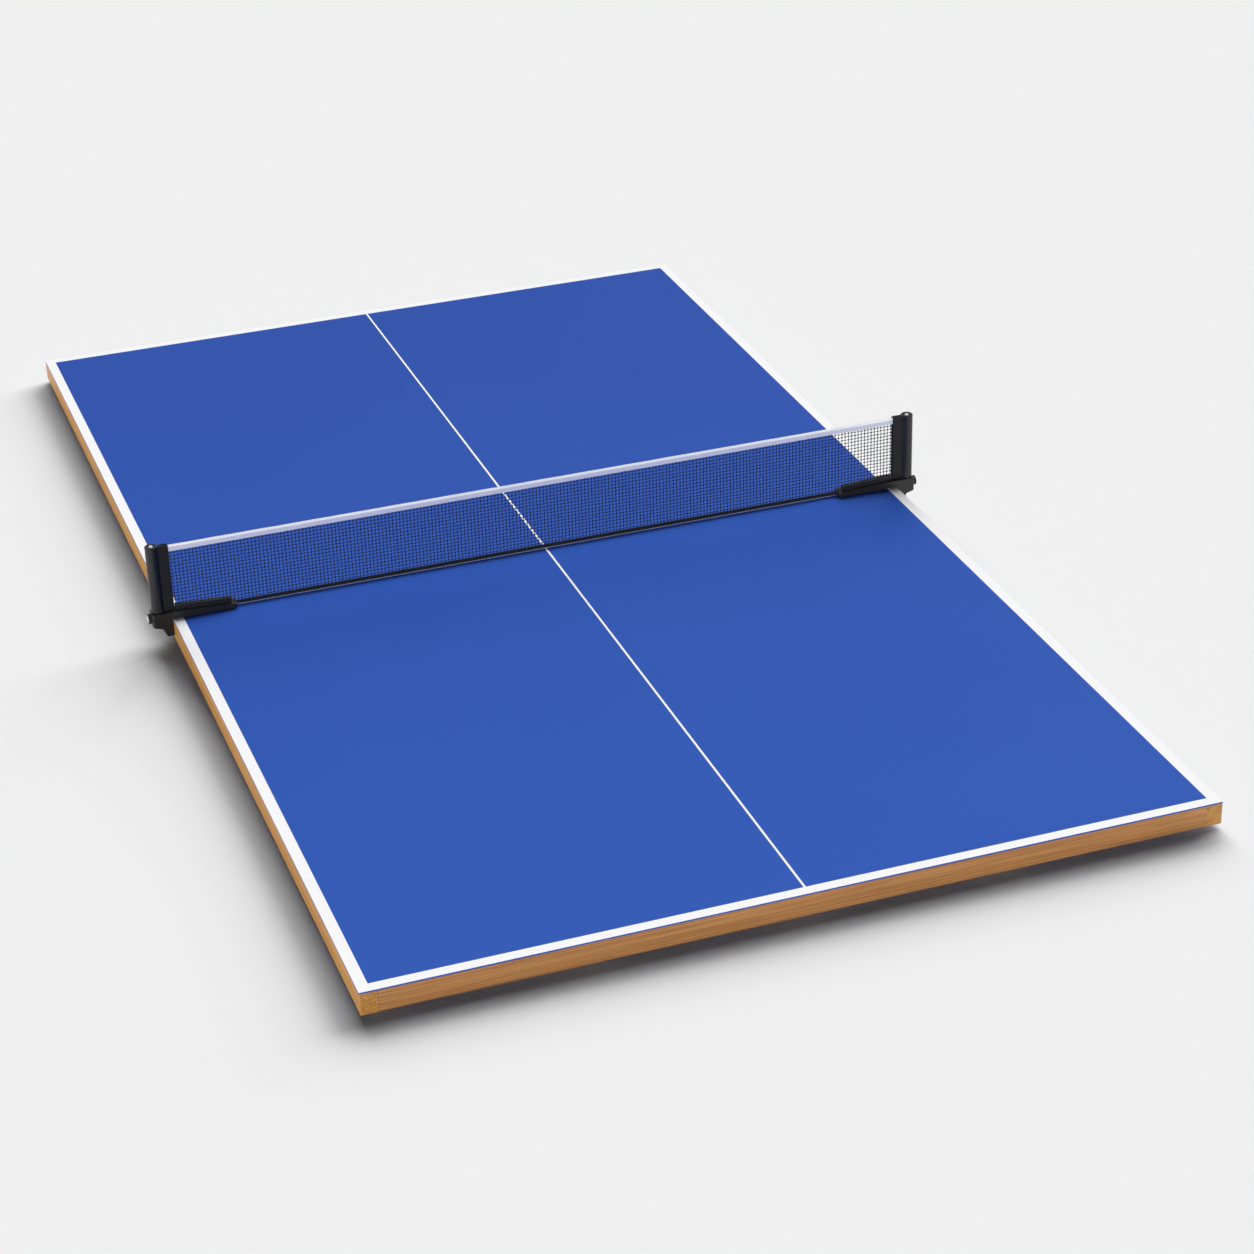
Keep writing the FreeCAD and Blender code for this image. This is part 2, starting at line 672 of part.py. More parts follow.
RIGHT_SET = {
    "bracket": bracket(),
    "arm_pad": arm_pad(),
    "clamp_plate": clamp_plate(),
    "clamp_knob": star_knob(),
    "lock_screw": lock_screw(),
    "lock_cap": lock_cap(),
    "lock_tip": lock_tip(),
    "post_sleeve": post_sleeve(),
    "post_rod": post_rod(),
    "net_bar": net_bar(),
}
for name, solid in RIGHT_SET.items():
    node(solid, f"{name}_right")
    node(mirrored(solid, f"{name}_mirror", ACROSS), f"{name}_left")


# ---------------------------------------------------------------- net
def strip(name, low, tall, thick):
    """A flat strip of the net between the side rods, from one height above the surface."""
    return box(name, (f"-{MESHX}", f"-{thick} / 2", f"({SURFACE} + {low})"), (f"2 * {MESHX}", thick, tall))


cord_base = (f"-{MESHX}", "0", f"({SURFACE} + netheight - cordcover - corddia / 2)")
tape = strip("tape_blank", "netheight - tapeheight", "tapeheight", "tapethick")
tape_tunnel = rod("tape_tunnel", cord_base, "X", "corddia", f"2 * {MESHX}")
node(cut("tape", tape, [tape_tunnel]), "net_tape")
node(rod("cord", cord_base, "X", "corddia", f"2 * {MESHX}"), "net_cord")
node(strip("hem", "netfloor", "hemheight", "tapethick"), "net_hem")
mesh_tall = "netheight - tapeheight - netfloor - hemheight"
node(strip("mesh", "netfloor + hemheight", mesh_tall, "meshthick"), "net_mesh")
side_base = (f"({EDGE} + sideplace)", "0", BASE)
right_rod = rod("side_rod", side_base, "Z", "siderod", f"{SURFACE} + sidetop - {BASE}")
node(right_rod, "net_rod_right")
node(mirrored(right_rod, "side_rod_mirror", ACROSS), "net_rod_left")

# ---------------------------------------------------------------- checks and export
doc.recompute()
failed = [o.Name for o in doc.Objects if "Invalid" in o.State or "Error" in o.State]
if failed:
    raise RuntimeError(f"objects that failed: {failed}")
for name, thing in nodes.items():
    if thing.Shape.isNull() or not thing.Shape.isValid():
        raise RuntimeError(f"{name} has no valid shape")

os.makedirs("parts", exist_ok=True)
for name, thing in nodes.items():
    thing.Shape.exportStep(f"parts/{name}.step")
whole = Part.makeCompound([thing.Shape for thing in nodes.values()]).BoundBox
size = " x ".join(f"{side:.1f}" for side in (whole.XLength, whole.YLength, whole.ZLength))
print(f"{len(nodes)} nodes, {size} mm, lowest {whole.ZMin:.3f}")
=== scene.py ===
"""Looks for the ping pong table: the net's cloth, its stitching and the lock caps as meshes, a material for
every slot, the studio and the camera.

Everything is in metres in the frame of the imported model: X across, Y along, Z up.
"""

import json
import math
import random

import bmesh
import bpy
from mathutils import Matrix, Vector

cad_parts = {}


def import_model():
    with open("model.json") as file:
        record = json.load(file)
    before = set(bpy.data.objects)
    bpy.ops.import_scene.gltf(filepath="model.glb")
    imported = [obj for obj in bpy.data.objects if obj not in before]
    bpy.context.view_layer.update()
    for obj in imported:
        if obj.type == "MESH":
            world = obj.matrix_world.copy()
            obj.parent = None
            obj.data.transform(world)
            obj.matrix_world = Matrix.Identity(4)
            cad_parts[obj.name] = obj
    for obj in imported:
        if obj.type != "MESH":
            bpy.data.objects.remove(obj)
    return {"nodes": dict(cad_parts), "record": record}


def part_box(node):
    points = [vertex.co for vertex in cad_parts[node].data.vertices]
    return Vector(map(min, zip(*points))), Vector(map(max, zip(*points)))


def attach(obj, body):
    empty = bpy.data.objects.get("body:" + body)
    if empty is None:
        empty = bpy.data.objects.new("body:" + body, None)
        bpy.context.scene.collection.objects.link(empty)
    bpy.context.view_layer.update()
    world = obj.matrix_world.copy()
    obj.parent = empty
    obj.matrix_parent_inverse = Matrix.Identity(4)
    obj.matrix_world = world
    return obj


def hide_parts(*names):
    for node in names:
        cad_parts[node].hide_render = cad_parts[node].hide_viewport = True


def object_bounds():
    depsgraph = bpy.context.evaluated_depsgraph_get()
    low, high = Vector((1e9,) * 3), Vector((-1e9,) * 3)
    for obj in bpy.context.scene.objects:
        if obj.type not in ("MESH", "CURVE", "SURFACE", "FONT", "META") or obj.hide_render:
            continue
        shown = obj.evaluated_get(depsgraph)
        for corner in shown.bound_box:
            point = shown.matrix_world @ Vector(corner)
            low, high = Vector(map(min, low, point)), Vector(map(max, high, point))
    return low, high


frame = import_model()
CAD_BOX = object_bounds()
MM = 0.001
SIDES = {"left": -1, "right": 1}


# ---------------------------------------------------------------- meshes
def centre_of(node):
    low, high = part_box(node)
    return (low + high) / 2


def turn_outwards(mesh):
    """Makes the faces of a closed skin face outwards."""
    skin = bmesh.new()
    skin.from_mesh(mesh)
    bmesh.ops.recalc_face_normals(skin, faces=skin.faces)
    skin.to_mesh(mesh)
    skin.free()


def mesh_object(name, points, faces, turn=False):
    """A smooth mesh object from points and faces, linked to the scene. turn makes its faces face outwards."""
    mesh = bpy.data.meshes.new(name)
    mesh.from_pydata([tuple(p) for p in points], [], faces)
    mesh.validate()
    if turn:
        turn_outwards(mesh)
    mesh.polygons.foreach_set("use_smooth", [True] * len(mesh.polygons))
    mesh.update()
    thing = bpy.data.objects.new(name, mesh)
    bpy.context.scene.collection.objects.link(thing)
    return thing


class Builder:
    """Collects tubes, knots and swept strips, and makes one object of them."""

    def __init__(self):
        self.points = []
        self.faces = []

    def ring(self, centre, across, up, sides):
        """Adds a closed ring of points on two half-axes, and gives the number of its first point."""
        start = len(self.points)
        for k in range(sides):
            angle = math.tau * (k + 0.5) / sides
            self.points.append(centre + across * math.cos(angle) + up * math.sin(angle))
        return start

    def bridge(self, a, b, sides):
        """Joins two rings, given by their first points, with a band of four-sided faces."""
        for k in range(sides):
            n = (k + 1) % sides
            self.faces.append((a + k, a + n, b + n, b + k))

    def cap(self, start, sides, flip):
        """Closes a ring with one face."""
        loop = list(range(start, start + sides))
        self.faces.append(tuple(reversed(loop)) if flip else tuple(loop))

    def tube(self, path, across, up, sides):
        """A closed tube along a path, with the same cross-section all the way."""
        rings = [self.ring(p, across, up, sides) for p in path]
        for a, b in zip(rings, rings[1:]):
            self.bridge(a, b, sides)
        self.cap(rings[0], sides, True)
        self.cap(rings[-1], sides, False)

    def knot(self, centre, radius, rng):
        """An icosahedron turned at random and a little flattened along Y."""
        start = len(self.points)
        turn = Matrix.Rotation(rng.uniform(0, math.tau), 3, Vector([rng.uniform(-1, 1) for _ in range(3)]))
        for p in ICOSAHEDRON_POINTS:
            q = turn @ p * radius
            self.points.append(centre + Vector((q.x, q.y * KNOT_FLAT, q.z)))
        self.faces += [tuple(start + i for i in face) for face in ICOSAHEDRON_FACES]

    def sweep(self, outline, stations, place):
        """A closed skin through copies of an outline. place(point, station) gives each point in the frame."""
        count = len(outline)
        starts = []
        for station in stations:
            starts.append(len(self.points))
            self.points += [place(p, station) for p in outline]
        for a, b in zip(starts, starts[1:]):
            self.bridge(a, b, count)
        self.cap(starts[0], count, True)
        self.cap(starts[-1], count, False)

    def make(self, name, turn=False):
        return mesh_object(name, self.points, self.faces, turn)


GOLDEN = (1 + math.sqrt(5)) / 2
ICOSAHEDRON_POINTS = [
    Vector(p).normalized()
    for a in (-1, 1) for b in (-GOLDEN, GOLDEN)
    for p in ((0, a, b), (a, b, 0), (b, 0, a))
]


def icosahedron_faces():
    """The triangles of three points that are neighbours of one another, turned outwards."""
    edge = 2 / math.sqrt(1 + GOLDEN * GOLDEN)
    slack = 0.01
    count = len(ICOSAHEDRON_POINTS)

    def touch(i, j):
        return (ICOSAHEDRON_POINTS[i] - ICOSAHEDRON_POINTS[j]).length < edge + slack

    faces = []
    for i in range(count):
        for j in range(i + 1, count):
            for k in range(j + 1, count):
                if touch(i, j) and touch(j, k) and touch(i, k):
                    a, b, c = (ICOSAHEDRON_POINTS[n] for n in (i, j, k))
                    outwards = (b - a).cross(c - a).dot(a) > 0
                    faces.append((i, j, k) if outwards else (i, k, j))
    return faces


ICOSAHEDRON_FACES = icosahedron_faces()
# Shares of the round shape through the same corners: an icosahedron's skin, and a hexagon's girth.
ICOSAHEDRON_SKIN = 5 * math.sqrt(3) / math.pi / (1 + GOLDEN * GOLDEN)
HEXAGON_GIRTH = 3 / math.pi
KNOT_FLAT = 0.85


# ---------------------------------------------------------------- node trees
class Paint:
    """A material's node tree, with short calls for the nodes that the finishes use."""

    def __init__(self, name):
        self.material = bpy.data.materials.new(name)
        self.material.use_nodes = True
        self.tree = self.material.node_tree
        self.shader = self.tree.nodes["Principled BSDF"]
        self.place = self.node("ShaderNodeTexCoord").outputs["Object"]

    def node(self, kind, **settings):
        made = self.tree.nodes.new(kind)
        for key, value in settings.items():
            setattr(made, key, value)
        return made

    def join(self, value, socket):
        """Links a socket, or sets a plain value."""
        if isinstance(value, bpy.types.NodeSocket):
            self.tree.links.new(value, socket)
        else:
            socket.default_value = value

    def math(self, operation, a, b=0.0):
        n = self.node("ShaderNodeMath", operation=operation)
        for value, socket in zip((a, b), n.inputs):
            self.join(value, socket)
        return n.outputs[0]

    def vector(self, operation, a, b=(0, 0, 0)):
        n = self.node("ShaderNodeVectorMath", operation=operation)
        self.join(a, n.inputs[0])
        self.join(b, n.inputs[1])
        return n.outputs["Vector"]

    def split(self, vector):
        n = self.node("ShaderNodeSeparateXYZ")
        self.join(vector, n.inputs[0])
        return n.outputs

    def combine(self, x, y, z):
        n = self.node("ShaderNodeCombineXYZ")
        for value, socket in zip((x, y, z), n.inputs):
            self.join(value, socket)
        return n.outputs[0]

    def noise(self, scale, detail=2.0, roughness=0.5, place=None, stretch=(1, 1, 1)):
        """Noise with so many cells to the metre, stretched by a factor along each axis."""
        n = self.node("ShaderNodeTexNoise")
        self.join(self.vector("MULTIPLY", place or self.place, stretch), n.inputs["Vector"])
        n.inputs["Scale"].default_value = scale
        n.inputs["Detail"].default_value = detail
        n.inputs["Roughness"].default_value = roughness
        return n.outputs["Fac"]

    def between(self, value, low, high, to_low=0.0, to_high=1.0):
        """Maps low..high to to_low..to_high, held at the ends."""
        n = self.node("ShaderNodeMapRange")
        for item, socket in zip((value, low, high, to_low, to_high), n.inputs):
            self.join(item, socket)
        return n.outputs[0]

    def mix(self, share, a, b):
        """A colour between a and b. The mix node has its colour inputs at 6 and 7, and the result at 2."""
        n = self.node("ShaderNodeMix", data_type="RGBA")
        self.join(share, n.inputs["Factor"])
        for value, socket in ((a, n.inputs[6]), (b, n.inputs[7])):
            self.join((*value, 1) if isinstance(value, tuple) else value, socket)
        return n.outputs[2]

    def distance(self, a, b):
        """The square root of a squared plus b squared."""
        return self.math("SQRT", self.math("ADD", self.math("POWER", a, 2.0), self.math("POWER", b, 2.0)))

    def bump(self, height, distance, strength=1.0):
        n = self.node("ShaderNodeBump")
        self.join(height, n.inputs["Height"])
        n.inputs["Distance"].default_value = distance
        n.inputs["Strength"].default_value = strength
        self.join(n.outputs[0], self.shader.inputs["Normal"])

    def set(self, **values):
        """Sets or links the shader's sockets: base_color for "Base Color", and so on."""
        names = {s.name.lower().replace(" ", "_"): s for s in self.shader.inputs}
        for key, value in values.items():
            self.join((*value, 1) if isinstance(value, tuple) and len(value) == 3 else value, names[key])


# ---------------------------------------------------------------- finishes
def blue_paint():
    """Matt blue paint, rolled on: a fine stipple and faint patches, with painted shade that makes the blue
    darker towards the far end, where the light falls off.
    """
    p = Paint("blue_paint")
    low, high = CAD_BOX
    patch = p.noise(2.2, 3)
    stipple = p.noise(900, 2)
    # Painted shade: a share that grows from the near end to the far end of the table and darkens the blue
    # along it.
    shade = p.between(p.split(p.place)[1], low[1], high[1])
    near_blue, far_blue_painted_shade, patch_blue = (0.0275, 0.0900, 0.410), (0.0155, 0.0640, 0.340), (0.05, 0.13, 0.5)
    base = p.mix(shade, near_blue, far_blue_painted_shade)
    base = p.mix(p.between(patch, 0.3, 0.7, 0.0, 0.08), base, patch_blue)
    p.set(base_color=base, roughness=p.between(stipple, 0.3, 0.7, 0.44, 0.54), specular_ior_level=0.09)
    p.bump(stipple, 0.02 * MM, 0.5)
    return p.material


def white_line():
    """Matt white line tape with a faint weave and slight scuffs."""
    p = Paint("white_line")
    weave = p.noise(1400, 1)
    scuff = p.between(p.noise(26, 4, 0.7), 0.62, 0.8)
    clean, scuffed = (0.86, 0.86, 0.87), (0.80, 0.80, 0.81)
    p.set(base_color=p.mix(scuff, clean, scuffed), roughness=0.6, specular_ior_level=0.2)
    p.bump(weave, 0.02 * MM, 0.4)
    return p.material


def along_grain(grain, factor):
    """A stretch that draws noise out along the grain axis: the smaller the factor, the longer the marks."""
    return (factor, 1.0, 1.0) if grain == "X" else (1.0, factor, 1.0)


def shaded(colour, factor):
    """The colour made darker or lighter by a factor."""
    return tuple(min(1.0, c * factor) for c in colour)


def wood_rings(p, grain, pith, spacing):
    """How dark the late wood is at each place: wavering rings of different depths about the pith line."""
    slow = along_grain(grain, 0.05)
    x, y, z = p.split(p.place)
    across = p.math("ABSOLUTE", y if grain == "X" else x)
    elsewhere = p.vector("ADD", p.place, (7.3, 1.7, 3.1))
    drift = p.math("MULTIPLY", p.noise(4, 2, place=elsewhere, stretch=slow), 30 * MM)
    warp = p.math("MULTIPLY", p.noise(38, 3, 0.55, stretch=slow), 11 * MM)
    radius = p.distance(p.math("ADD", across, -pith[0]), p.math("ADD", z, -pith[1]))
    rings = p.math("DIVIDE", p.math("ADD", radius, p.math("ADD", warp, drift)), spacing)
    year = p.math("FRACT", rings)
    late = p.math("MULTIPLY", p.between(year, 0.35, 0.9), p.between(year, 0.93, 1.0, 1.0, 0.0))
    ring_place = p.combine(p.math("FLOOR", rings), 0.5, 0.5)
    depth = p.between(p.noise(1.0, 1, place=ring_place), 0.3, 0.7, 0.35, 1.0)
    return p.math("MULTIPLY", late, depth)


def wood(name, grain, pith, spacing, light, dark, joint=None, lacquer=0.0):
    """Sawn softwood as a solid: growth rings about a pith line that runs along the grain, fibres, and pores.

    grain is the axis that the board runs along. pith is the ring centre's place across it, in metres from
    the middle of the table and from the floor, and spacing the width of a year's ring. The same rings show as
    long figure on the faces and as arcs on the end grain. joint darkens the wood next to a butt joint at that
    distance from the middle of the table.
    """
    p = Paint(name)
    fibres = p.noise(1500, 3, 0.6, stretch=along_grain(grain, 0.012))
    streaks = p.noise(170, 4, 0.65, stretch=along_grain(grain, 0.02))
    pores = p.between(p.noise(900, 1, stretch=along_grain(grain, 0.03)), 0.66, 0.74)
    clouds = p.noise(3.5, 2, stretch=along_grain(grain, 0.05))
    tone = p.mix(wood_rings(p, grain, pith, spacing), light, dark)
    tone = p.mix(p.between(fibres, 0.35, 0.75, 0.0, 0.45), tone, shaded(light, 0.72))
    tone = p.mix(p.between(streaks, 0.45, 0.68, 0.0, 0.75), tone, dark)
    tone = p.mix(p.between(streaks, 0.2, 0.42, 0.6, 0.0), tone, shaded(light, 1.35))
    tone = p.mix(p.math("MULTIPLY", pores, 0.5), tone, shaded(dark, 0.55))
    tone = p.mix(p.between(clouds, 0.35, 0.65, 0.0, 0.35), tone, shaded(light, 0.8))
    if joint:
        gap = p.math("ABSOLUTE", p.math("ADD", p.math("ABSOLUTE", p.split(p.place)[0]), -joint))
        tone = p.mix(p.between(gap, 0.2 * MM, 0.9 * MM, 0.75, 0.0), tone, shaded(dark, 0.3))
    roughness = p.between(fibres, 0.3, 0.7, 0.42, 0.58)
    p.set(base_color=tone, roughness=roughness, coat_weight=lacquer, coat_roughness=0.3)
    p.bump(p.math("SUBTRACT", fibres, p.math("MULTIPLY", pores, 0.6)), 0.05 * MM, 0.6)
    return p.material


def plywood():
    """Raw plywood: rotary-cut face veneer below, and crossing plies in its edges."""
    p = Paint("plywood")
    veneer, late_veneer = (0.60, 0.42, 0.25), (0.46, 0.28, 0.14)
    fibre_brown, ply_brown = (0.36, 0.21, 0.10), (0.28, 0.16, 0.08)
    figure = p.noise(9, 4, 0.6, stretch=(0.35, 2.4, 1))
    bands = p.math("SINE", p.math("MULTIPLY", figure, 60.0))
    fibres = p.noise(1100, 3, 0.6, stretch=(0.02, 1, 1))
    ply = p.math("PINGPONG", p.split(p.place)[2], 3 * MM)
    tone = p.mix(p.between(bands, -0.4, 1.0, 0.0, 0.5), veneer, late_veneer)
    tone = p.mix(p.between(fibres, 0.4, 0.7, 0.0, 0.4), tone, fibre_brown)
    tone = p.mix(p.between(ply, 1.5 * MM, 1.7 * MM, 0.0, 0.25), tone, ply_brown)
    p.set(base_color=tone, roughness=0.75)
    p.bump(fibres, 0.08 * MM, 0.6)
    return p.material


def moulded(name, colour, grain, rough, height, shine=0.5):
    """Moulded or coated black stock with a fine grain, of grain cells to the metre and height metres high."""
    p = Paint(name)
    texture = p.noise(grain, 2)
    dust = p.between(p.noise(45, 4, 0.65), 0.45, 0.8, 0.0, 0.5)
    base = p.mix(dust, colour, shaded(colour, 1.7))
    p.set(base_color=base, roughness=p.between(texture, 0.3, 0.7, rough - 0.05, rough + 0.08),
          specular_ior_level=shine)
    p.bump(texture, height, 0.6)
    return p.material


def drawn_metal(name, colour, rough, axis_stretch, scratch=1300):
    """Bare metal with fine drawing lines: axis_stretch is small along the lines."""
    p = Paint(name)
    lines = p.noise(scratch, 3, 0.65, stretch=axis_stretch)
    stain = p.noise(70, 3)
    base = p.mix(p.between(stain, 0.35, 0.7), colour, shaded(colour, 0.82))
    p.set(base_color=base, metallic=1.0, roughness=p.between(lines, 0.3, 0.7, rough * 0.8, rough * 1.3))
    p.bump(lines, 0.01 * MM, 0.5)
    return p.material


def turned_metal(name, colour, rough, centre):
    """A polished disc that faces X, with faint turning rings about its own centre."""
    p = Paint(name)
    ring_pitch = 0.35 * MM
    _, y, z = p.split(p.vector("SUBTRACT", p.vector("ABSOLUTE", p.place), centre))
    rings = p.math("SINE", p.math("MULTIPLY", p.distance(y, z), math.tau / ring_pitch))
    p.set(base_color=colour, metallic=1.0, roughness=p.between(rings, -1.0, 1.0, rough, rough * 1.8))
    p.bump(rings, 0.006 * MM, 0.5)
    return p.material


def zinc_plate():
    """Zinc-plated steel with a soft spangle."""
    p = Paint("plate_steel")
    cells = p.node("ShaderNodeTexVoronoi")
    p.join(p.place, cells.inputs["Vector"])
    cells.inputs["Scale"].default_value = 260
    shade = p.split(cells.outputs["Color"])[0]
    p.set(base_color=p.mix(shade, (0.42, 0.43, 0.45), (0.58, 0.59, 0.62)), metallic=1.0,
          roughness=p.between(shade, 0.0, 1.0, 0.30, 0.46))
    return p.material


def woven(name, colour, dark, rib, tilt, sheen=0.3, band=None):
    """Woven tape: ribs across and along it, rib metres apart, with the slant that tilt gives them.

    band is a height and the colour of the cloth above it, a painted highlight that stands in for light on the
    top of the fold.
    """
    p = Paint(name)
    x, _, z = p.split(p.place)
    turns = math.tau / rib
    slant = p.math("SINE", p.math("MULTIPLY", p.math("ADD", x, p.math("MULTIPLY", z, tilt)), turns))
    cross = p.math("SINE", p.math("MULTIPLY", z, turns * 1.3))
    weave = p.math("ADD", slant, p.math("MULTIPLY", cross, 0.6))
    fuzz = p.noise(2500, 2)
    soil = p.between(p.noise(12, 3), 0.45, 0.75, 0.0, 0.35)
    base = p.mix(p.between(weave, -1.6, 0.2, 0.5, 0.0), colour, dark)
    base = p.mix(soil, base, dark)
    # Painted highlight: above the band's height the cloth takes the bright colour, for the light that falls
    # on the fold's top.
    if band:
        height, bright = band
        blur = 0.3 * MM
        base = p.mix(p.between(z, height - blur, height + blur), base, bright)
    p.set(base_color=base, roughness=0.85, sheen_weight=sheen, sheen_roughness=0.5, specular_ior_level=0.25)
    p.bump(p.math("ADD", weave, fuzz), 0.06 * MM, 0.7)
    return p.material


def nylon():
    """Black nylon net thread: twisted, with a dull shine."""
    p = Paint("mesh_black")
    x, y, z = p.split(p.place)
    twist_pitch = 1.1 * MM
    lay = p.math("SINE", p.math("MULTIPLY", p.math("ADD", p.math("ADD", x, y), z), math.tau / twist_pitch))
    fuzz = p.noise(3000, 2)
    p.set(base_color=p.mix(fuzz, (0.005, 0.006, 0.012), (0.013, 0.014, 0.026)), roughness=0.6,
          specular_ior_level=0.3)
    p.bump(p.math("ADD", lay, fuzz), 0.05 * MM, 0.6)
    return p.material


def finishes():
    """A material for every slot of the record, one for the centre rails and one for the piping."""
    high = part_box("end_rail_far")[1]
    rail_top, joint = high.z, high.x
    side_low, side_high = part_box("side_rail_right_far")
    side_pith = ((side_low.x + side_high.x) / 2 - 0.10, rail_top + 0.07)
    end_pith = (high.y - 0.08, rail_top + 0.12)
    honey, honey_dark = (0.51, 0.243, 0.082), (0.24, 0.090, 0.025)
    amber, amber_dark = (0.57, 0.280, 0.066), (0.19, 0.070, 0.015)
    pale, pale_dark = (0.62, 0.45, 0.27), (0.47, 0.29, 0.15)
    cap = centre_of("lock_cap_right")
    tape_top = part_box("net_tape")[1].z
    return {
        "blue_paint": blue_paint(),
        "white_line": white_line(),
        "plywood": plywood(),
        "rail_wood": wood("rail_wood", "Y", side_pith, 4.2 * MM, amber, amber_dark, lacquer=0.1),
        "end_rail_wood": wood("end_rail_wood", "X", end_pith, 4 * MM, honey, honey_dark, joint, lacquer=0.1),
        "batten_wood": wood("batten_wood", "Y", (0.05, -0.03), 5.0 * MM, pale, pale_dark),
        "centre_wood": wood("centre_wood", "X", (0.08, -0.02), 5.0 * MM, pale, pale_dark),
        "dowel_wood": wood("dowel_wood", "X", (0.3, 0.3), 1.2 * MM, (0.66, 0.50, 0.33), (0.55, 0.38, 0.22)),
        "foot_rubber": moulded("foot_rubber", (0.022, 0.022, 0.022), 900, 0.75, 0.05 * MM),
        "pad_rubber": moulded("pad_rubber", (0.020, 0.020, 0.020), 1400, 0.8, 0.05 * MM),
        "screw_steel": drawn_metal("screw_steel", (0.62, 0.62, 0.60), 0.3, (1, 1, 0.2)),
        "pin_steel": drawn_metal("pin_steel", (0.60, 0.60, 0.61), 0.22, (1, 0.03, 1)),
        "plate_steel": zinc_plate(),
        "brass": drawn_metal("brass", (0.72, 0.52, 0.22), 0.28, (0.1, 0.1, 1)),
        "bracket_black": moulded("bracket_black", (0.0105, 0.0105, 0.011), 1800, 0.42, 0.03 * MM),
        "sleeve_black": moulded("sleeve_black", (0.009, 0.009, 0.010), 2600, 0.30, 0.006 * MM),
        "bar_black": moulded("bar_black", (0.008, 0.008, 0.0085), 1200, 0.55, 0.03 * MM, shine=0.32),
        "knob_black": moulded("knob_black", (0.013, 0.013, 0.013), 1500, 0.5, 0.03 * MM),
        "cap_steel": turned_metal("cap_steel", (0.86, 0.86, 0.87), 0.30, tuple(cap)),
        "rod_chrome": drawn_metal("rod_chrome", (0.90, 0.90, 0.91), 0.28, (1, 1, 0.05), 900),
        "rod_fibre": moulded("rod_fibre", (0.03, 0.03, 0.03), 2000, 0.4, 0.02 * MM),
        # The white tape's cloth is painted a greyed lavender, painted shade with a painted blue reflection
        # from the table on its front, and its top 4.5 mm a painted highlight where the light falls on the
        # fold.
        "tape_white": woven(
            "tape_white", (0.64, 0.64, 0.74), (0.50, 0.50, 0.60), 0.8 * MM, 0.8,
            band=(tape_top - 4.5 * MM, (0.93, 0.94, 0.93)),
        ),
        "hem_black": woven(
            "hem_black", (0.014, 0.014, 0.016), (0.006, 0.006, 0.007), 0.8 * MM, 0.8, sheen=0.1
        ),
        "mesh_black": nylon(),
        "cord_white": woven("cord_white", (0.78, 0.78, 0.80), (0.5, 0.5, 0.54), 0.9 * MM, 2.0),
        "piping_grey": woven("piping_grey", (0.30, 0.31, 0.34), (0.22, 0.23, 0.26), 0.9 * MM, 2.0),
    }


FINISH = finishes()


def paint(thing, finish):
    thing.data.materials.clear()
    thing.data.materials.append(FINISH[finish])


def paint_frame():
    """Gives every CAD node its slot's finish. The centre rails run across the table, so their grain does."""
    for entry in frame["record"]["subparts"]:
        node = entry["node"]
        finish = "centre_wood" if node.startswith("centre_rail") else entry["material_slot"]
        paint(frame["nodes"][node], finish)


def keep_bounce_off_floor():
    """The rails' warm colour stays out of the light that bounces on to the paper under them."""
    for node, thing in frame["nodes"].items():
        if "rail" in node:
            thing.visible_diffuse = False


def soften(node, width):
    """Rounds a node's sharp edges a little, as moulding, casting or sanding leaves them."""
    thing = frame["nodes"][node]
    bevel = thing.modifiers.new("soft_edges", "BEVEL")
    bevel.width = width
    bevel.segments = 2
    bevel.limit_method = "ANGLE"
    bevel.angle_limit = math.radians(50)
    bevel.use_clamp_overlap = True
    bevel.harden_normals = True


def soften_frame():
    for side in SIDES:
        soften(f"bracket_{side}", 0.7 * MM)
        soften(f"clamp_knob_{side}", 0.6 * MM)
        soften(f"lock_screw_{side}", 0.3 * MM)


def piece(thing, body, slot, *nodes):
    """Paints a new piece, makes it ride on its body and stand for the CAD nodes."""
    if not thing.data.materials:
        paint(thing, slot)
    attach(thing, body)
    if nodes:
        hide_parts(*nodes)
    return thing


# ---------------------------------------------------------------- camera
def camera():
    """A long lens from the front left, above the near end of the table."""
    azimuth, elevation, roll = (math.radians(a) for a in (-18.874, 27.922, -1.738))
    distance, lens = 5.862, 88.29
    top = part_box("playing_surface_far")[1].z
    aim = Vector((0.037, -0.381, top))
    back = Vector((math.sin(azimuth) * math.cos(elevation), -math.cos(azimuth) * math.cos(elevation),
                   math.sin(elevation)))
    right = Vector((0, 0, 1)).cross(back).normalized()
    up = back.cross(right)
    data = bpy.data.cameras.new("Camera")
    data.sensor_width = 36
    data.lens = lens
    data.clip_start, data.clip_end = 0.05, 200
    made = bpy.data.objects.new("Camera", data)
    bpy.context.scene.collection.objects.link(made)
    turned_right = right * math.cos(roll) + up * math.sin(roll)
    turned_up = up * math.cos(roll) - right * math.sin(roll)
    rotation = Matrix((turned_right, turned_up, back)).transposed()
    made.matrix_world = Matrix.Translation(aim + back * distance) @ rotation.to_4x4()
    bpy.context.scene.camera = made


# ---------------------------------------------------------------- studio
# The paper floor: how much light it reflects, how bright it looks, and half its width in metres.
FLOOR_ALBEDO = 0.80
FLOOR_RADIANCE = 0.863
FLOOR_REACH = 40
# Name, azimuth, elevation, spread, and the share of the floor's brightness that the light gives.
KEYS = (
    ("KeyBack", 15, 31, 39, 0.467),
    ("KeyRight", 55, 27, 46, 0.508),
)
# Name, azimuth, elevation, spread and strength.
FILL = ("Fill", -128, 1.0, 12, 3.6)


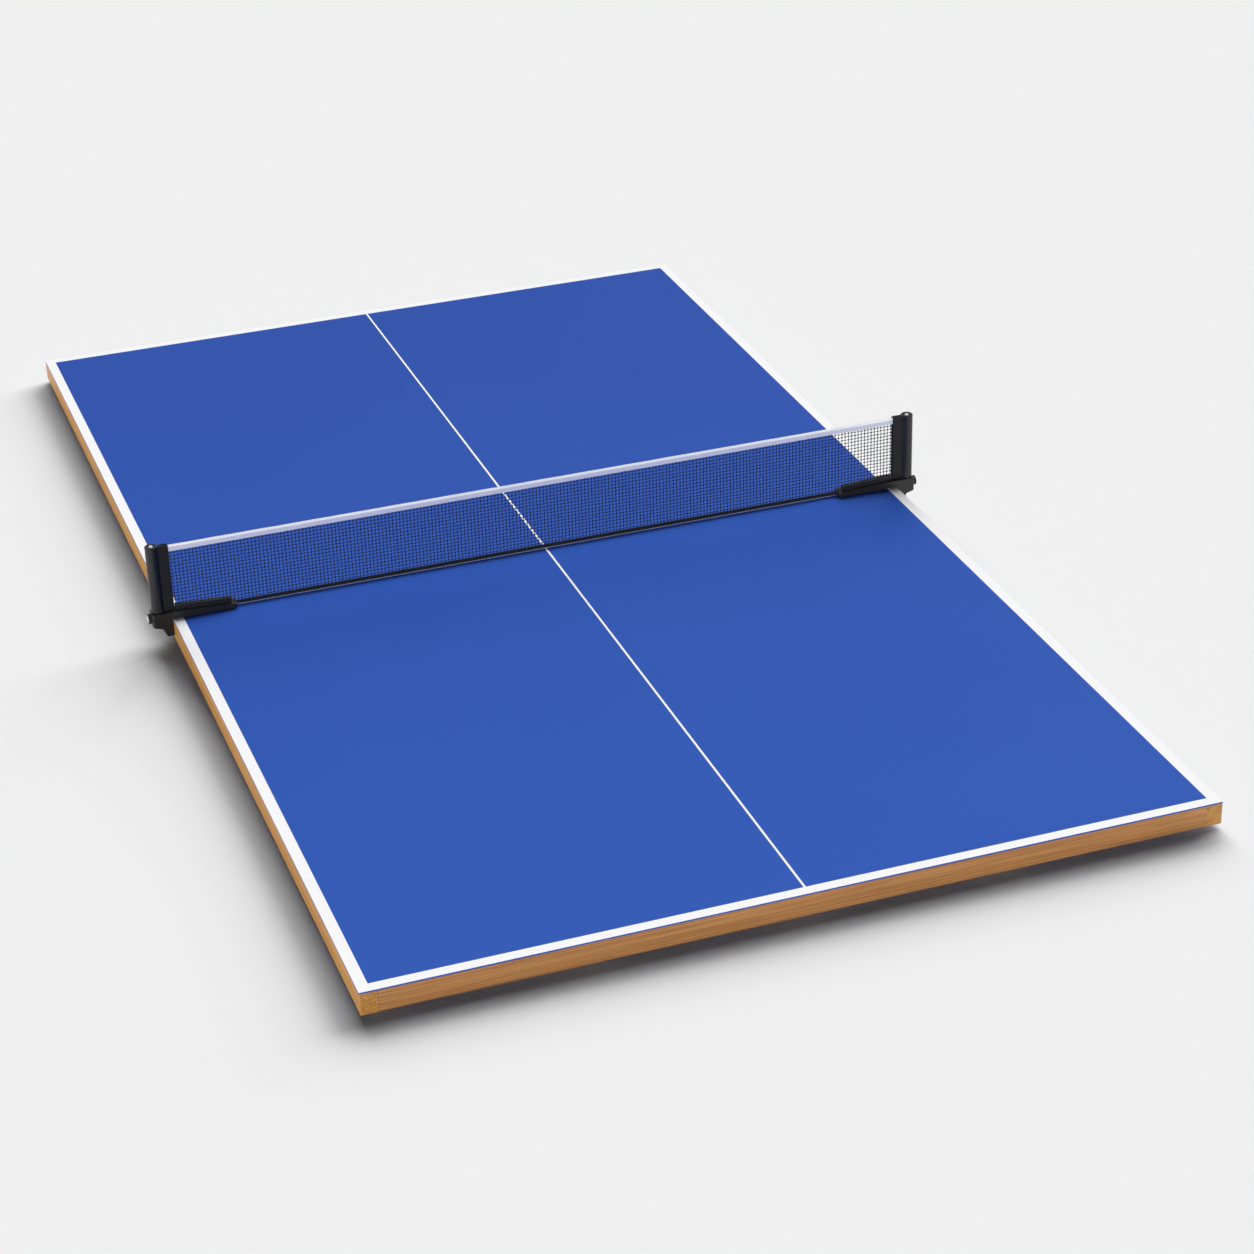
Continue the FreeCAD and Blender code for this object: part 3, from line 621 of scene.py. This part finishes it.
def sun(name, azimuth, elevation, spread, strength, shadow=True):
    """A distant soft light, in degrees: azimuth from +Y towards +X, elevation and angular width as spread."""
    data = bpy.data.lights.new(name, "SUN")
    data.energy = strength
    data.angle = math.radians(spread)
    data.use_shadow = shadow
    made = bpy.data.objects.new(name, data)
    bpy.context.scene.collection.objects.link(made)
    a, e = math.radians(azimuth), math.radians(elevation)
    towards = Vector((math.sin(a) * math.cos(e), math.cos(a) * math.cos(e), math.sin(e)))
    made.rotation_mode = "QUATERNION"
    made.rotation_quaternion = towards.to_track_quat("Z", "Y")
    made.visible_glossy = False


def floor_share(share, elevation):
    """The strength of a sun that gives the floor that share of its brightness."""
    return share * FLOOR_RADIANCE * math.pi / (FLOOR_ALBEDO * math.sin(math.radians(elevation)))


def world():
    """A pale surround, brightest overhead, that shows in reflections and lights no matt surface."""
    made = bpy.data.worlds.new("Studio")
    made.use_nodes = True
    tree = made.node_tree
    background = tree.nodes["Background"]
    place = tree.nodes.new("ShaderNodeTexCoord")
    parts = tree.nodes.new("ShaderNodeSeparateXYZ")
    tree.links.new(place.outputs["Generated"], parts.inputs[0])
    ramp = tree.nodes.new("ShaderNodeValToRGB")
    tree.links.new(parts.outputs["Z"], ramp.inputs["Fac"])
    low, high = ramp.color_ramp.elements
    low.color, high.color = (0.30, 0.30, 0.31, 1), (0.85, 0.85, 0.88, 1)
    tree.links.new(ramp.outputs["Color"], background.inputs["Color"])
    background.inputs["Strength"].default_value = 1.0
    made.cycles_visibility.diffuse = False
    bpy.context.scene.world = made


def studio():
    """Two wide soft lights from the back right, and a low even fill from the front left."""
    for name, azimuth, elevation, spread, share in KEYS:
        sun(name, azimuth, elevation, spread, floor_share(share, elevation))
    sun(*FILL, shadow=False)
    world()
    corners = [(x * FLOOR_REACH, y * FLOOR_REACH, 0) for x, y in ((-1, -1), (1, -1), (1, 1), (-1, 1))]
    floor = mesh_object("floor", corners, [(0, 1, 2, 3)])
    p = Paint("floor_paper")
    p.set(base_color=(FLOOR_ALBEDO,) * 3, roughness=1.0, specular_ior_level=0.0)
    floor.data.materials.append(p.material)
    view = bpy.context.scene.view_settings
    view.view_transform = "Standard"
    view.look = "None"


# ---------------------------------------------------------------- net
# Its threads and knots.
THREAD = 0.95 * MM
KNOT = 3.3 * MM
KNOT_SPREAD = (0.92, 1.1)
PITCH = 7.25 * MM
KNOT_DRIFT = 0.35 * MM
NET_SAG = 0.8 * MM
SAG_WAVES = 9
# Its cloth bands, and the hem's drop, which eases in from the brackets' tips.
CLOTH = 0.6 * MM
STATIONS = 240
HEM_DROP = 1.8 * MM
HEM_EASE = 9 * MM
BRACKET_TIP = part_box("bracket_right")[0].x
# Its stitches: length, step and thickness.
STITCH = 2.6 * MM
STITCH_STEP = 3.4 * MM
STITCH_THICK = 0.32 * MM


def evenly(low, high, pitch):
    """Middles of the whole cells, about pitch wide, that fill low to high."""
    count = round((high - low) / pitch)
    step = (high - low) / count
    return [low + step * (i + 0.5) for i in range(count)]


def net_threads():
    """The knotted square mesh, from inside the hem to inside the tape, and from rod to rod."""
    low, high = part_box("net_mesh")
    tuck = 3 * MM
    rng = random.Random(7)
    columns = evenly(low.x, high.x, PITCH)
    rows = evenly(low.z, high.z, PITCH)

    def knot_place(x, z):
        loose = math.sin(math.pi * (z - low.z) / (high.z - low.z))
        drift = [rng.uniform(-KNOT_DRIFT, KNOT_DRIFT) for _ in range(2)]
        sag = NET_SAG * loose * (0.5 + 0.5 * math.sin(SAG_WAVES * x))
        return Vector((x + drift[0], 0, z + drift[1] - sag))

    places = [[knot_place(x, z) for z in rows] for x in columns]
    build = Builder()
    radius = THREAD / 2 / HEXAGON_GIRTH
    knot_radius = KNOT / 2 / math.sqrt(ICOSAHEDRON_SKIN)
    for x, column in zip(columns, places):
        path = [Vector((x, 0, low.z - tuck)), *column, Vector((x, 0, high.z + tuck))]
        build.tube(path, Vector((radius, 0, 0)), Vector((0, radius, 0)), 6)
    for j, z in enumerate(rows):
        path = [Vector((low.x, 0, z)), *[column[j] for column in places], Vector((high.x, 0, z))]
        build.tube(path, Vector((0, radius, 0)), Vector((0, 0, radius)), 6)
    for column in places:
        for place in column:
            build.knot(place, knot_radius * rng.uniform(*KNOT_SPREAD), rng)
    threads = build.make("net_knotted_mesh")
    threads.visible_shadow = False
    return threads


def hem_drop(x):
    """How much lower than its CAD solid the hem hangs at x: not at all within the brackets' net slots."""
    share = min(1.0, max(0.0, (BRACKET_TIP - abs(x)) / HEM_EASE))
    return HEM_DROP * share * share * (3 - 2 * share)


def folded_band(name, low, high, fold_up, bead, legs, drop=None):
    """A strip folded lengthwise round the net's edge, as one skin.

    The fold is a bead with its middle bead/2 from the strip's outer edge, and the two legs lie legs apart.
    low and high are the CAD strip's corners. fold_up says that the fold is at the top. drop(x) is how much
    deeper the band is at x.
    """
    sign = 1 if fold_up else -1
    fold_z = high.z if fold_up else low.z
    open_z = low.z if fold_up else high.z
    middle = fold_z - sign * bead / 2
    neck = math.asin(min(1.0, legs / bead))

    def arc(radius):
        """Points round the bead, from the front neck over the fold to the back neck."""
        steps = 10
        first, last = math.pi + math.pi / 2 - neck, -math.pi / 2 + neck
        for i in range(steps + 1):
            a = first + (last - first) * i / steps
            yield Vector((0, radius * math.cos(a), middle + sign * radius * math.sin(a)))

    outer = [Vector((0, -legs / 2, open_z)), *arc(bead / 2), Vector((0, legs / 2, open_z))]
    inner_legs = legs / 2 - CLOTH * 0.5
    inner_arc = reversed(list(arc(bead / 2 - CLOTH)))
    inner = [Vector((0, inner_legs, open_z)), *inner_arc, Vector((0, -inner_legs, open_z))]
    outline = outer + inner
    rng = random.Random(3)
    phases = [rng.uniform(0, math.tau) for _ in range(3)]

    def swing(height, waves, phase, x):
        return height * math.sin(waves * x + phase)

    def place(p, x):
        ripple = swing(0.12 * MM, 41, phases[0], x) + swing(0.08 * MM, 113, phases[1], x)
        wave = swing(0.10 * MM, 67, phases[2], x)
        deeper = drop(x) * (p.z - open_z) / (fold_z - open_z) if drop else 0.0
        return Vector((x, p.y + ripple, p.z + wave - deeper))

    build = Builder()
    build.sweep(outline, [low.x + (high.x - low.x) * i / STATIONS for i in range(STATIONS + 1)], place)
    return build.make(name, turn=True)


def stitch_rows(name, node, heights, offset):
    """Rows of lock stitches on both faces of a strip, each a short bowed thread that dips into the cloth."""
    low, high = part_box(node)
    build = Builder()
    count = int((high.x - low.x) / STITCH_STEP)
    half = STITCH_THICK / 2
    for z in heights:
        for face in (-1, 1):
            for i in range(count):
                x = low.x + STITCH_STEP * (i + 0.5)
                path = [
                    Vector((x + STITCH * t, face * (offset + STITCH_THICK * lift), z))
                    for t, lift in ((-0.5, -0.6), (-0.25, 0.2), (0.25, 0.2), (0.5, -0.6))
                ]
                build.tube(path, Vector((0, half, 0)), Vector((0, 0, half)), 4)
    return build.make(name)


def foot_piping():
    """The grey edging cord sewn along the foot of the hem, from bracket to bracket."""
    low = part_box("net_hem")[0]
    reach = BRACKET_TIP - HEM_EASE
    radius, proud, waver = 0.55 * MM, 0.3 * MM, 0.1 * MM
    middle = low.z - HEM_DROP + radius
    path = [
        Vector((reach * (2 * i / STATIONS - 1), low.y - proud, middle + waver * math.sin(1.7 * i)))
        for i in range(STATIONS + 1)
    ]
    build = Builder()
    build.tube(path, Vector((0, radius, 0)), Vector((0, 0, radius)), 10)
    thing = build.make("net_foot_piping")
    paint(thing, "piping_grey")
    return piece(thing, "net", "cord_white")


def side_binding(side):
    """The cloth tube at the net's end that the side rod slides into."""
    rod = f"net_rod_{side}"
    low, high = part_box(rod)
    centre = centre_of(rod)
    radius = (high.x - low.x) / 2
    outer, inner = radius + 0.25 * MM, radius + 0.03 * MM
    start, end = low.z + 4 * MM, high.z - 1.5 * MM
    steps, sides = 24, 20
    levels = [start + (end - start) * i / steps for i in range(steps + 1)]
    build = Builder()
    rings = []
    for r, heights in ((outer, levels), (inner, reversed(levels))):
        across, up = Vector((r, 0, 0)), Vector((0, r, 0))
        rings += [build.ring(Vector((centre.x, centre.y, z)), across, up, sides) for z in heights]
    for a, b in zip(rings, rings[1:] + rings[:1]):
        build.bridge(a, b, sides)
    thing = piece(build.make(f"net_side_binding_{side}", turn=True), "net", "hem_black")


def net():
    """The mesh, the two folded bands with their stitching, the piping and the side bindings."""
    tape_low, tape_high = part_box("net_tape")
    hem_low, hem_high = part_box("net_hem")
    bead, legs = tape_high.y - tape_low.y, 2.2 * MM

    threads = piece(net_threads(), "net", "mesh_black", "net_mesh")
    tape = folded_band("net_top_tape", tape_low, tape_high, True, bead, legs)
    tape = piece(tape, "net", "tape_white", "net_tape")
    hem = folded_band("net_bottom_hem", hem_low, hem_high, False, bead, legs, hem_drop)
    hem = piece(hem, "net", "hem_black", "net_hem")
    tape_rows = [tape_low.z + 1.6 * MM, tape_high.z - bead - 1.4 * MM]
    tape_thread = piece(stitch_rows("tape_stitching", "net_tape", tape_rows, legs / 2), "net", "cord_white")
    hem_rows = [hem_high.z - 1.2 * MM]
    hem_thread = piece(stitch_rows("hem_stitching", "net_hem", hem_rows, legs / 2), "net", "hem_black")

    piping = foot_piping()
    for side in SIDES:
        side_binding(side)


# ---------------------------------------------------------------- lock caps
CAP_CROWN = 2.2 * MM


def lock_cap(side):
    """The bright domed cap in the lock knob, with a rolled rim."""
    node = f"lock_cap_{side}"
    low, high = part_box(node)
    centre = centre_of(node)
    out = SIDES[side]
    back, face = (low.x, high.x) if out > 0 else (high.x, low.x)
    rim = (high.y - low.y) / 2
    steps, sides = 10, 48
    rolled = [(0.4 * MM, 0.3 * MM), (0.3 * MM, 0.9 * MM)]
    profile = [(back, rim), (face, rim)] + [(face + out * proud, rim - inset) for proud, inset in rolled]
    for i in range(steps):
        turn = math.pi / 2 * i / steps
        profile.append((face + out * CAP_CROWN * math.sin(turn), (rim - MM) * math.cos(turn)))
    build = Builder()
    rings = [
        build.ring(Vector((x, centre.y, centre.z)), Vector((0, radius, 0)), Vector((0, 0, radius)), sides)
        for x, radius in profile
    ]
    for a, b in zip(rings, rings[1:]):
        build.bridge(a, b, sides)
    build.cap(rings[0], sides, True)
    build.cap(rings[-1], sides, False)
    piece(build.make(f"domed_cap_{side}", turn=True), f"lock_screw_{side}", "cap_steel", node)


# ---------------------------------------------------------------- the scene
camera()
paint_frame()
keep_bounce_off_floor()
soften_frame()
net()
for each_side in SIDES:
    lock_cap(each_side)
studio()
